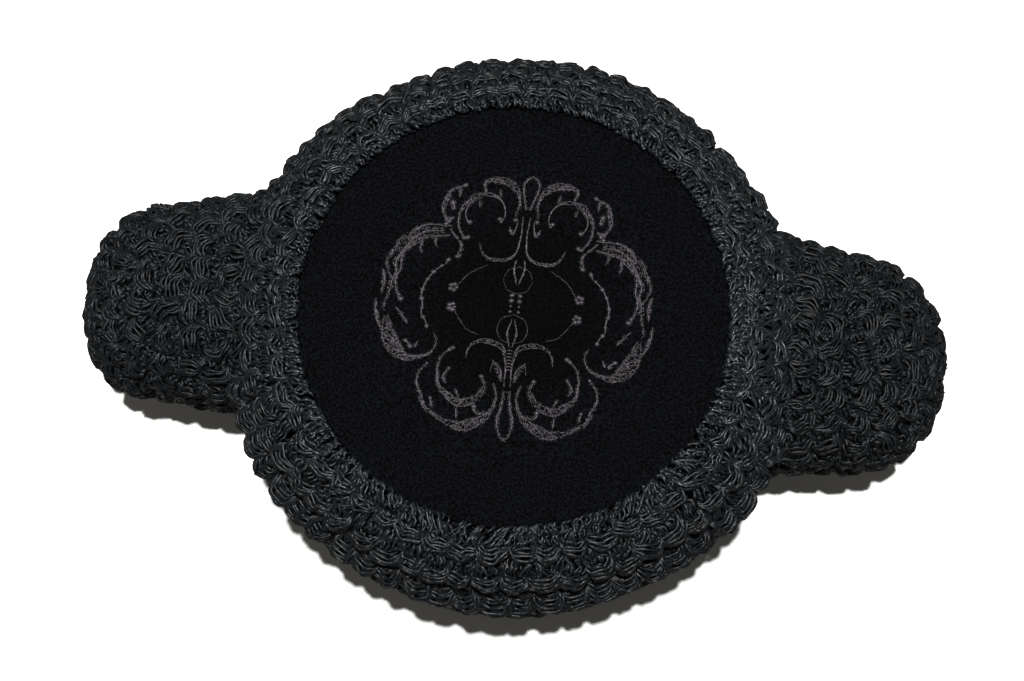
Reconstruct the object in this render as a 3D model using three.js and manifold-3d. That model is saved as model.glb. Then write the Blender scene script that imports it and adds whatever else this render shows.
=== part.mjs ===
// Matador hat: a round crown covered with rows of looped cord, a sunk velvet top and two stuffed side lobes.
// Millimetres, +Z up. The rim stands on Z = 0, the lobes lie along X, and -Y is the front.
import * as THREE from 'three';
import { mergeVertices } from 'three/addons/utils/BufferGeometryUtils.js';
import Module from 'manifold-3d';

const wasm = await Module();
wasm.setup();

// Clearance between neighbouring pieces
const GAP = 0.3;

// Velvet top: a thin disc with a softly rounded edge, a little higher in the middle
const TOP = { radius: 84.5, edgeZ: 96, rise: 1.2, thickness: 3, edgeRound: 1.2, sides: 58, riseSteps: 3 };

// Outline of the loop rows over their crests: a rounded shoulder above a wall that tucks in to the rim.
// Seen from above it is an oval, ovality wider than the mean radius along X and narrower along Y.
const CREST = { innerRadius: 86.5, meanRadius: 115.3, ovality: 1.3, topZ: 99, widestZ: 60, rimTuck: 6.5 };

// Head hollow: an upright oval wall that turns in under the velvet as a ledge
const HEAD = { ledgeRadius: 74, meanRadius: 92, ovality: -4, ledgeZ: 90.5, shoulderZ: 54, hemZ: 0.8 };
const WALL_THICKNESS = 2.2;
const WALL_SIDES = 58;

// Steps over the rounded shoulder of the wall, over the whole crest profile and for measuring a slope
const SHOULDER_STEPS = 4;
const CREST_STEPS = 16;
const NORMAL_STEP = 0.002;

// Loop rows of the crown: each row rises from its root under the row above to a scalloped lip
const CROWN_ROWS = { rows: 8, tufts: 58, relief: 4.5, notch: 2.8, sag: 2.2, throatZ: 97.2 };

// Share of the first row where its cords, rising out of the throat beside the velvet, are highest
const FIRST_ROW_TOP = 0.3;

// Loop rows of a lobe, from the crown to the tip
const LOBE_ROWS = { rows: 8, tufts: 24, relief: 4.2, notch: 2.6, sag: 1.8 };

// Side lobes: rounded-square sections that narrow a little to a shoulder, then close in an elliptical end.
// The collar, where the rows begin, is just clear of the crown all round.
const LOBE = {
  baseX: 97,
  collarX: 113,
  centreY: 3.2,
  baseZ: 50,
  tipZ: 46,
  baseHalfZ: 38,
  shoulderHalfZ: 34,
  squareness: 0.8,
};
const LOBES = [
  { name: 'side_lobe_left', side: -1, tipX: 176.5, baseHalfY: 50, shoulderX: 142, shoulderHalfY: 39.5 },
  { name: 'side_lobe_right', side: 1, tipX: 176.5, baseHalfY: 46, shoulderX: 124, shoulderHalfY: 47.3 },
];

// Colour and finish of each cloth
const FINISH = {
  velvet: { color: 0x0f1012, roughness: 0.95, metalness: 0 },
  cord: { color: 0x252729, roughness: 0.7, metalness: 0 },
  cloth: { color: 0x17181a, roughness: 0.9, metalness: 0 },
};

// A shoulder arc that starts level and turns down into a straight side
function shoulderProfile(innerRadius, outerRadius, topZ, sideZ, footRadius, footZ) {
  const profile = new THREE.CurvePath();
  const width = outerRadius - innerRadius;
  const side = new THREE.Vector2(outerRadius, sideZ);
  const foot = new THREE.Vector2(footRadius, footZ);
  profile.add(new THREE.EllipseCurve(innerRadius, sideZ, width, topZ - sideZ, Math.PI / 2, 0, true));
  profile.add(new THREE.LineCurve(side, foot));
  return profile;
}

// Outward normal of a profile that runs downwards and outwards
function profileNormal(profile, along) {
  const before = profile.getPoint(Math.max(along - NORMAL_STEP, 0));
  const after = profile.getPoint(Math.min(along + NORMAL_STEP, 1));
  const way = after.sub(before).normalize();
  return new THREE.Vector2(-way.y, way.x);
}

// A point of a profile, moved along its outward normal
function profilePoint(profile, along, outwards) {
  return profile.getPoint(along).addScaledVector(profileNormal(profile, along), outwards);
}

// A profile point turned to an angle, with the reach beyond the pivot radius stretched to the oval
function turned(point, oval, pivotRadius, angle) {
  const reach = oval.meanRadius - pivotRadius;
  const stretch = 1 + (oval.ovality * Math.cos(2 * angle)) / reach;
  const radius = point.x > pivotRadius ? pivotRadius + (point.x - pivotRadius) * stretch : point.x;
  return new THREE.Vector3(radius * Math.cos(angle), radius * Math.sin(angle), point.y);
}

// One ring of points round the vertical axis; pointAt gives the profile point of a column
function crownRing(columns, oval, pivotRadius, pointAt) {
  const ring = [];
  for (let column = 0; column < columns; column += 1) {
    const angle = (2 * Math.PI * column) / columns;
    ring.push(turned(pointAt(column), oval, pivotRadius, angle));
  }
  return ring;
}

// Adds the two triangles of a cell, split along its shorter diagonal
function addCell(index, points, a, b, c, d) {
  if (points[a].distanceToSquared(points[c]) <= points[b].distanceToSquared(points[d])) {
    index.push(a, b, c, a, c, d);
  } else {
    index.push(a, b, d, b, c, d);
  }
}

// Joins rings into a closed body. Its first and last ring meet, or each is fanned shut to a point.
function solidFromRings(rings, ends) {
  const columns = rings[0].length;
  const points = rings.flat();
  const index = [];
  const strips = ends ? rings.length - 1 : rings.length;
  for (let row = 0; row < strips; row += 1) {
    const next = (row + 1) % rings.length;
    for (let column = 0; column < columns; column += 1) {
      const beside = (column + 1) % columns;
      addCell(
        index,
        points,
        row * columns + column,
        row * columns + beside,
        next * columns + beside,
        next * columns + column,
      );
    }
  }
  if (ends) {
    const first = points.push(ends[0]) - 1;
    const last = points.push(ends[1]) - 1;
    const lastRow = (rings.length - 1) * columns;
    for (let column = 0; column < columns; column += 1) {
      const beside = (column + 1) % columns;
      index.push(first, beside, column, last, lastRow + column, lastRow + beside);
    }
  }
  const geometry = new THREE.BufferGeometry().setFromPoints(points);
  geometry.setIndex(index);
  return geometry;
}

// A geometry as a solid that can be cut
function toManifold(geometry) {
  const bare = geometry.clone();
  bare.deleteAttribute('normal');
  bare.deleteAttribute('uv');
  const merged = mergeVertices(bare);
  const vertProperties = new Float32Array(merged.attributes.position.array);
  const triVerts = new Uint32Array(merged.index.array);
  return new wasm.Manifold(new wasm.Mesh({ numProp: 3, vertProperties, triVerts }));
}

// A cut solid as a geometry
function fromManifold(manifold) {
  const mesh = manifold.getMesh();
  const geometry = new THREE.BufferGeometry();
  geometry.setAttribute('position', new THREE.BufferAttribute(mesh.vertProperties, 3));
  geometry.setIndex(new THREE.BufferAttribute(mesh.triVerts, 1));
  return geometry;
}

function namedMesh(name, geometry, finish) {
  geometry.computeVertexNormals();
  const mesh = new THREE.Mesh(geometry, new THREE.MeshStandardMaterial(finish));
  mesh.name = name;
  return mesh;
}

// Depth and sag of a lip at a column: full at the middle of a tuft, cut back in the notch between two
function lipShape(column, row, look) {
  const inNotch = (column + row) % 2 === 1;
  return { depth: inNotch ? look.notch : 0, sag: inNotch ? -look.sag : look.sag };
}

// Share of a profile where a row begins
function rowStart(row, look) {
  return row / look.rows;
}

const crestProfile = shoulderProfile(
  CREST.innerRadius,
  CREST.meanRadius,
  CREST.topZ,
  CREST.widestZ,
  CREST.meanRadius - CREST.rimTuck,
  0,
);

const wallProfile = shoulderProfile(
  HEAD.ledgeRadius,
  HEAD.meanRadius,
  HEAD.ledgeZ,
  HEAD.shoulderZ,
  HEAD.meanRadius,
  0,
);

// Shares of a profile at equal steps over its shoulder, and at its foot
function shoulderShares(profile) {
  const [shoulder, whole] = profile.getCurveLengths();
  const shares = [];
  for (let step = 0; step <= SHOULDER_STEPS; step += 1) {
    shares.push((shoulder / whole) * (step / SHOULDER_STEPS));
  }
  return [...shares, 1];
}

function crownTop() {
  const { radius, edgeZ, rise, thickness, edgeRound, sides, riseSteps } = TOP;
  const underZ = edgeZ - thickness;
  const outline = [
    new THREE.Vector2(0, underZ),
    new THREE.Vector2(radius - edgeRound / 2, underZ),
    new THREE.Vector2(radius, underZ + edgeRound / 2),
    new THREE.Vector2(radius, edgeZ - edgeRound),
    new THREE.Vector2(radius - edgeRound, edgeZ),
  ];
  for (let step = riseSteps - 1; step >= 0; step -= 1) {
    const share = step / riseSteps;
    outline.push(new THREE.Vector2(share * radius, edgeZ + rise * (1 - share * share)));
  }
  const geometry = new THREE.LatheGeometry(outline, sides);
  geometry.rotateX(Math.PI / 2);
  return namedMesh('crown_top', fromManifold(toManifold(geometry)), FINISH.velvet);
}

// Rings along the wall profile at a distance outside it, cut level at the foot
function wallRings(columns, outwards, footZ) {
  return shoulderShares(wallProfile).map((along) => {
    const point = profilePoint(wallProfile, along, outwards);
    point.y = along === 1 ? footZ : point.y;
    return crownRing(columns, HEAD, HEAD.ledgeRadius, () => point);
  });
}

function crownWall() {
  const inside = wallRings(WALL_SIDES, 0, HEAD.hemZ);
  const outside = wallRings(WALL_SIDES, WALL_THICKNESS, HEAD.hemZ);
  return namedMesh('crown_wall', solidFromRings([...inside, ...outside.reverse()], null), FINISH.cloth);
}

// Root and lip rings of every crown row, from the velvet down to the rim
function crownRowRings(columns) {
  const look = CROWN_ROWS;
  const rings = [];
  const throat = new THREE.Vector2(TOP.radius + GAP, look.throatZ);
  for (let row = 0; row < look.rows; row += 1) {
    const root = profilePoint(crestProfile, rowStart(row, look), -look.relief);
    rings.push(crownRing(columns, CREST, CREST.innerRadius, () => (row === 0 ? throat : root)));
    if (row === 0) {
      const top = crestProfile.getPoint(rowStart(FIRST_ROW_TOP, look));
      rings.push(crownRing(columns, CREST, CREST.innerRadius, () => top));
    }
    const lipAt = (column) => {
      const shape = lipShape(column, row, look);
      const along = rowStart(row + 1, look) + shape.sag / crestProfile.getLength();
      const lip = profilePoint(crestProfile, Math.min(along, 1), -shape.depth);
      lip.y = Math.max(lip.y, 0);
      return lip;
    };
    rings.push(crownRing(columns, CREST, CREST.innerRadius, lipAt));
  }
  const foot = profilePoint(crestProfile, 1, -look.relief);
  foot.y = 0;
  rings.push(crownRing(columns, CREST, CREST.innerRadius, () => foot));
  return rings;
}

function crownLoops() {
  const columns = 2 * CROWN_ROWS.tufts;
  const rows = crownRowRings(columns);
  const backing = wallRings(columns, WALL_THICKNESS + GAP, 0).reverse();
  // The backing stops under the velvet, where the rows close against its edge
  const underTop = TOP.edgeZ - TOP.thickness;
  const inside = backing.filter((ring) => Math.hypot(ring[0].x, ring[0].y) > TOP.radius);
  const seat = new THREE.Vector2(TOP.radius + GAP, underTop);
  inside.push(crownRing(columns, CREST, CREST.innerRadius, () => seat));
  return namedMesh('crown_loops', solidFromRings([...rows, ...inside].reverse(), null), FINISH.cord);
}

// Smooth body just outside the crests, which shapes the hollow base of a lobe
function crestEnvelope() {
  const columns = 2 * CROWN_ROWS.tufts;
  const rings = [];
  for (let step = CREST_STEPS; step >= 0; step -= 1) {
    const point = profilePoint(crestProfile, step / CREST_STEPS, GAP);
    rings.push(crownRing(columns, CREST, CREST.innerRadius, () => point));
  }
  const below = new THREE.Vector3(0, 0, -GAP);
  const above = new THREE.Vector3(0, 0, CREST.topZ + GAP);
  return solidFromRings(rings, [below, above]);
}

// Rounded-square ring of a lobe at a point of its outline, where x is the reach and y the half width
function lobeRing(columns, lobe, pointAt) {
  const ring = [];
  const squared = (value) => Math.sign(value) * Math.abs(value) ** LOBE.squareness;
  for (let column = 0; column < columns; column += 1) {
    const angle = (2 * Math.PI * column) / columns;
    const point = pointAt(column);
    const share = (point.x - LOBE.baseX) / (lobe.tipX - LOBE.baseX);
    const toShoulder = Math.min((point.x - LOBE.baseX) / (lobe.shoulderX - LOBE.baseX), 1);
    const sideHalfY = THREE.MathUtils.lerp(lobe.baseHalfY, lobe.shoulderHalfY, toShoulder);
    const sideHalfZ = THREE.MathUtils.lerp(LOBE.baseHalfZ, LOBE.shoulderHalfZ, toShoulder);
    const halfZ = point.y * (sideHalfZ / sideHalfY);
    const centreZ = THREE.MathUtils.lerp(LOBE.baseZ, LOBE.tipZ, share);
    const y = LOBE.centreY + point.y * squared(Math.cos(angle));
    const z = centreZ + halfZ * squared(Math.sin(angle));
    ring.push(new THREE.Vector3(lobe.side * point.x, y, z));
  }
  return lobe.side > 0 ? ring : ring.reverse();
}

// Outline of a lobe seen from above, from its base round to the tip
function lobeOutline(lobe) {
  const outline = new THREE.CurvePath();
  const base = new THREE.Vector2(LOBE.baseX, lobe.baseHalfY);
  const shoulder = new THREE.Vector2(lobe.shoulderX, lobe.shoulderHalfY);
  const endReach = lobe.tipX - lobe.shoulderX;
  outline.add(new THREE.LineCurve(base, shoulder));
  outline.add(new THREE.EllipseCurve(shoulder.x, 0, endReach, shoulder.y, Math.PI / 2, 0, true));
  return outline;
}

// Rings of a lobe: its smooth base, then the root and lip of every row
function lobeRings(lobe) {
  const look = LOBE_ROWS;
  const columns = 2 * look.tufts;
  const outline = lobeOutline(lobe);
  const [sideLength, length] = outline.getCurveLengths();
  const collar = ((LOBE.collarX - LOBE.baseX) / (lobe.shoulderX - LOBE.baseX)) * (sideLength / length);
  const rowShare = (row) => collar + (1 - collar) * (row / look.rows);
  const rings = [lobeRing(columns, lobe, () => outline.getPoint(0))];
  for (let row = 0; row < look.rows; row += 1) {
    const lipAt = (column) => {
      const shape = lipShape(column, row, look);
      return profilePoint(outline, rowShare(row) + shape.sag / length, -shape.depth);
    };
    const root = profilePoint(outline, rowShare(row), -look.relief);
    rings.push(lobeRing(columns, lobe, row === 0 ? () => outline.getPoint(collar) : lipAt));
    rings.push(lobeRing(columns, lobe, () => root));
  }
  return rings;
}

function sideLobe(lobe, envelope) {
  const inner = new THREE.Vector3(lobe.side * LOBE.baseX, LOBE.centreY, LOBE.baseZ);
  const tip = new THREE.Vector3(lobe.side * lobe.tipX, LOBE.centreY, LOBE.tipZ);
  const whole = toManifold(solidFromRings(lobeRings(lobe), [inner, tip]));
  return namedMesh(lobe.name, fromManifold(whole.subtract(envelope)), FINISH.cord);
}

const hat = new THREE.Group();
hat.add(crownTop(), crownWall(), crownLoops());
const envelope = toManifold(crestEnvelope());
for (const lobe of LOBES) {
  hat.add(sideLobe(lobe, envelope));
}

export default hat;
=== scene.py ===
"""Matador hat: looped cords, velvet top, embroidery and cloth inside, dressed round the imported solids."""
import math

import bpy
import numpy as np
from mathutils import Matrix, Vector


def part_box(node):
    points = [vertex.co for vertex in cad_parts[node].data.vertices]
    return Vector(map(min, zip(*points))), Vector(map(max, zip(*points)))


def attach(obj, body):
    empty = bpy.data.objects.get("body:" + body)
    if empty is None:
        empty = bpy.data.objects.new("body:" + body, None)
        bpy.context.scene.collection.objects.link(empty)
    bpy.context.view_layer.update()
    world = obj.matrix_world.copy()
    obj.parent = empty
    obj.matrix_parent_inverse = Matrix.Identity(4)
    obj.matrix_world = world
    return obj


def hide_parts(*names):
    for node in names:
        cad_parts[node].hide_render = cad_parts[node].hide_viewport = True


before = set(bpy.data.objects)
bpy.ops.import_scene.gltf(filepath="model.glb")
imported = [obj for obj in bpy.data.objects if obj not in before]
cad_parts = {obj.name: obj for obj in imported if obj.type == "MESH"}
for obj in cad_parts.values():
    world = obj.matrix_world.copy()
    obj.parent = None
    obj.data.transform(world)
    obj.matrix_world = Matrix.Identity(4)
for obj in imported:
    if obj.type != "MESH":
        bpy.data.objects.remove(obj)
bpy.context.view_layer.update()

# Lengths below are millimetres; meshes are made in metres
MM = 0.001
BODY = "root"
# Starts of the random draws, for the paths of the cords and for their radii
SEEDS = {
    "crown": 100, "crown_radii": 200, "lobe": 300, "lobe_radii": 400,
    "embroidery": 500, "embroidery_radii": 600,
}


def spots(*places):
    """Places round the crown, given as angle and angular width in degrees and a size, in radians."""
    return [(math.radians(angle), math.radians(wide), size) for angle, wide, size in places]


# Velvet top
TOP_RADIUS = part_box("crown_top")[1].y / MM
TOP_EDGE_Z = 96.0
TOP_RISE = 1.2
TOP_THICKNESS = 3.0
TOP_ROUND = 1.2
TOP_ROUND_RINGS = 5
TOP_CHAMFER = 0.6
# Edges of the disc that turn more than this stay sharp
SHARP_ANGLE = math.radians(50)
TOP_SIDES = 128
# Rings of the velvet, as shares of its radius: the first, the last and how many
TOP_RINGS = (0.95, 0.03, 24)

# Crest of the loop rows: a throat beside the velvet, a rounded shoulder and a wall that tucks in to the rim
CREST_RADIUS = 117.0
CREST_OVALITY = 1.3
# The crest lies this much farther out at the back than on average
CREST_BACK = 0.2
# Hand-made swellings of the crest: their angle round the hat, their angular width and their reach
CREST_SWELLS = spots((-35, 13, 2.8), (-141, 10, 1.6), (74, 8, 1.7), (118, 8, -1.6), (38, 10, -1.2))
CREST_TOP_Z = 99.0
WIDEST_Z = 60.0
RIM_TUCK = 6.5
THROAT = 2.7
# The first cords lean this far over the edge of the velvet
THROAT_OVERLAP = 1.5
# Radius where the throat turns into the shoulder
CREST_INNER = TOP_RADIUS + THROAT - THROAT_OVERLAP
CURVE_STEPS = 160
RING_STEPS = 720
# Below this a length counts as none
TINY = 1e-9
# Rounds that bring a point onto a lobe's surface, and half the distance that its slope is taken over
SURFACE_ROUNDS = 3
NUDGE = 0.05

# Head hollow
HEAD_RADIUS = 92.0
HEAD_OVALITY = -4.0
LEDGE_RADIUS = 74.0
LEDGE_Z = 90.5
HEAD_SHOULDER_Z = 54.0
HEM_Z = 0.8
WALL_THICKNESS = 2.2
WALL_SIDES = 96
WALL_RINGS = 8
LEDGE_RINGS = 12
# Backing under the crown's loops: where it starts along the crest, how far it stays under the roots and above
# the floor, and how far its foot keeps from the inner wall
BACKING = {"start": 0.5, "rings": 27, "under": 1.0, "lowest": 0.6, "gap": 0.4}

# Side lobes, as reach from the middle of the hat and half widths of their rounded-square sections
LOBE = {
    "base_x": 97.0, "base_z": 50.0, "tip_z": 46.0, "base_half_z": 38.0, "shoulder_half_z": 34.0,
    "squareness": 0.8, "end_power": 2.4, "crest_x": 100.0, "crest_z": 84.0,
}
# Each lobe's cords are painted darker by a share, as painted shade, the right lobe most
LOBES = {
    "left": {"side": -1, "tip_x": 176.4, "base_y": 6.5, "tip_y": 1.9, "base_half_y": 48.5,
             "shoulder_x": 142.0, "shoulder_half_y": 40.5, "painted_light": 0.88},
    "right": {"side": 1, "tip_x": 176.3, "base_y": 4.6, "tip_y": 3.0, "base_half_y": 51.6,
              "shoulder_x": 128.0, "shoulder_half_y": 46.0, "painted_light": 0.7},
}

# Ball that a lobe's pad is drawn out of, in metres, with the depth of its flat foot in millimetres
PAD = {"segments": 64, "rings": 40, "radius": 0.03, "stretch": (1.9, 1.2, 1.1), "middle_z": 0.048, "foot": 6}

# Cord of the loops
CORD_RADIUS = 1.0
CORD_RADIUS_SPREAD = 0.05
CORD_SIDES = 3
CORD_TWIST = math.radians(28)
# Thick cords inside the lips, which fill them out under the arcs
CORE_RADIUS = 2.2
CORE_COUNT = 2
# A direction that no cord follows, which settles where the first corner of a cord lies
TUBE_START = np.array([0.31, 0.17, 0.93])

# Tufts of the crown and of the lobes. A tuft is a fan of straight posts that ends under a rounded lip of
# arcs: its width, the gaps between its cords, the round of its lip, the depth of its roots, how far it leans,
# turns and wanders at random, its dome, and the depth of the notches beside it and of its fillers.
CROWN_TUFT = {
    "pitch": 11.2, "arc_gap": 1.75, "post_gap": 1.6, "nose": 2.0, "root": 3.6, "lean": 0.45, "turn": 0.2,
    "wander": 0.9, "dome": 1.8, "notch": 2.8, "under": 2.0,
}
LOBE_TUFT = {
    "pitch": 11.4, "step": 11.8, "arcs": 6, "posts": 7, "fillers": 5, "arc_gap": 1.6, "post_gap": 1.6,
    "nose": 3.0, "relief": 4.0, "root": 3.0, "lean": 0.4, "turn": 0.55, "wander": 0.8, "dome": 2.4,
    "notch": 3.0, "under": 2.2, "converge": 0.9, "tilt": 0.22,
}
# Crown rows from the velvet to the rim: distance of the lip along the crest at the front, the sides and the
# back, depth of the roots under it, cords in a tuft, how steeply a tuft rises to its lip, how far its arcs
# run together at their ends, how far these three ease towards a flat row from the front to the back, how far
# the row lies back under the crest, and how much lighter or darker its cords are painted, as painted light
# and shade
ROW_COLUMNS = (
    "lip", "side", "back", "relief", "arcs", "posts", "fillers", "tilt", "converge", "ease", "sink", "painted_light")
ROWS = tuple(dict(zip(ROW_COLUMNS, row)) for row in (
    (15.0, 11.2, 9.8, 3.4, 5, 8, 5, 0.1, 1.0, 0.0, 0.0, 1.2),
    (29.6, 26.5, 19.2, 4.6, 5, 7, 5, 0.3, 0.9, 0.2, 0.0, 1.0),
    (48.5, 44.0, 33.0, 8.0, 6, 7, 5, 0.75, 0.4, 0.55, 0.0, 0.92),
    (62.0, 58.0, 49.0, 6.0, 5, 7, 4, 0.5, 0.7, 0.3, 2.6, 0.92),
    (75.0, 72.0, 66.0, 6.0, 5, 6, 3, 0.5, 0.7, 0.0, 3.0, 1.0),
    (88.0, 86.0, 83.0, 6.0, 5, 6, 3, 0.5, 0.7, 0.0, 3.0, 1.0),
    (100.5, 99.5, 98.5, 6.0, 5, 6, 3, 0.5, 0.7, 0.0, 3.0, 1.0),
    (112.0, 112.0, 112.0, 6.0, 5, 6, 3, 0.5, 0.7, 0.0, 3.0, 1.0),
))
# Places round the crown whose cords are painted lighter or darker, as painted light and shade: their angle,
# angular width and share
PAINTED_LIGHT_SPOTS = spots(
    (4, 24, 0.55), (-19, 7, 0.45), (-46, 20, -0.14), (-90, 50, -0.07), (-103, 10, 0.1), (180, 30, 0.1))
SHADE_SPREAD = 0.15
# Places where the posts of a row lean: their angle, angular width and slant
LEAN_SPOTS = spots((0, 26, 0.6), (75, 24, 0.6), (-115, 18, 0.35), (-62, 18, -0.4))
# The side where tufts lie flatter and looser, as angle, angular width and share
LOOSE_SPOTS = spots((2, 28, 1.0))
# There, how far tufts ease towards flat ones, how far their fillers rise, and how much more they turn
LOOSE = {"ease": 0.5, "fill": 0.45, "turn": 0.8}
# Where rows are squeezed, the arcs of a lip move together down to this share of their usual gap
LEAST_SQUEEZE = 0.8
LOBE_FIRST_LIP_X = 107.0
# The first row starts at this distance along the crest
THROAT_LIP = 0.8
ARC_POINTS = 14
POST_POINTS = 9
UNDER_POINTS = 7
# Rise of a smile from its middle to its ends where arcs stay apart
SMILE_RISE = 4.6
# The cords lie this far inside the crest, so that their outsides touch it
CORD_SINK = 0.4
# Waves along a cord: the fewest and the most, their share of its swing, and how far it goes its own way
CORD_WAVES = ((0.5, 1.4, 1.0, 1.5), (1.8, 3.0, 2.2, 0.4))
WAVE_REACH = np.array([1.0, 1.0, 0.35])
WAVE_SPREAD = 0.1
SWING_SPREAD = 0.35
# Arcs of a lip: distance of the first from the end of the lip, half their length as a share of the tuft's
# width, what each loses to the one before it, and how round they are down the row and out of it. In this and
# the next tables, swing is the size of the waves, and the spreads are those of random draws.
ARC = {
    "first": 0.6, "half": 0.54, "taper": 0.04, "smile": 0.9, "hump": 0.5, "swing": 0.25, "order_spread": 0.16,
    "width_spread": 0.08, "corner_spread": 0.6, "half_spread": 0.3, "skew_spread": 0.1,
    "own_skew_spread": 0.05,
}
# Posts: how far they stop short of the deepest arc, how narrow their fan starts, how fast they rise, how far
# they dip under the arcs and from where on, and the depth of their roots in the throat
POST = {
    "clear": 0.4, "fan": 0.9, "rise": 1.6, "dip": 1.0, "dip_from": 0.86, "throat_depth": 0.6, "swing": 0.3,
    "slant_spread": 0.14, "stop_spread": 0.5, "root_spread": 0.3, "throat_spread": 0.7, "side_spread": 0.3,
    "lift_spread": 0.2,
}
# Share of a tuft's slant that drifts along the row, and share that is its own
LEAN_DRIFT = 0.75
LEAN_OWN = 0.5
# Fillers: how far they stop short of the lip and start behind the row, and how far and how late they sag
FILLER = {
    "stop": 2.0, "root": 2.0, "sag": 1.6, "sag_power": 4, "swing": 0.25, "slant_spread": 0.4,
    "end_spread": 0.8, "side_spread": 0.3,
}
# Cores: distance of the first from the end of the lip and of the next from it, their half length as a share
# of the tuft's width, the angle that their curve goes to, and how far they stay under the arcs
CORE = {"first": 2.6, "gap": 3.2, "half": 0.5, "angle": 1.25, "clear": 0.2}
# Tufts stand unevenly by this share of their width, and turn about this share of the row's depth
CROWN_SEAT = {"spread": 0.07, "pivot": 0.4}
LOBE_SEAT = {"spread": 0.1, "pivot": 0.45}
# Tufts of the first row turn less
FIRST_ROW_TURN = 0.4
# The last lips end this far above the rim, and the last row of a lobe this far from its tip
RIM_CLEAR = 1.6
TIP_CLEAR = 1.0
# Crown tufts whose middles, at this depth, lie deeper in a lobe than this level are left out, and so are lobe
# tufts that lie deeper in the crown than this
TUFT_MIDDLE = 2.0
LOBE_COVERS = 0.93
CROWN_COVERS = 5.0

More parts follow.
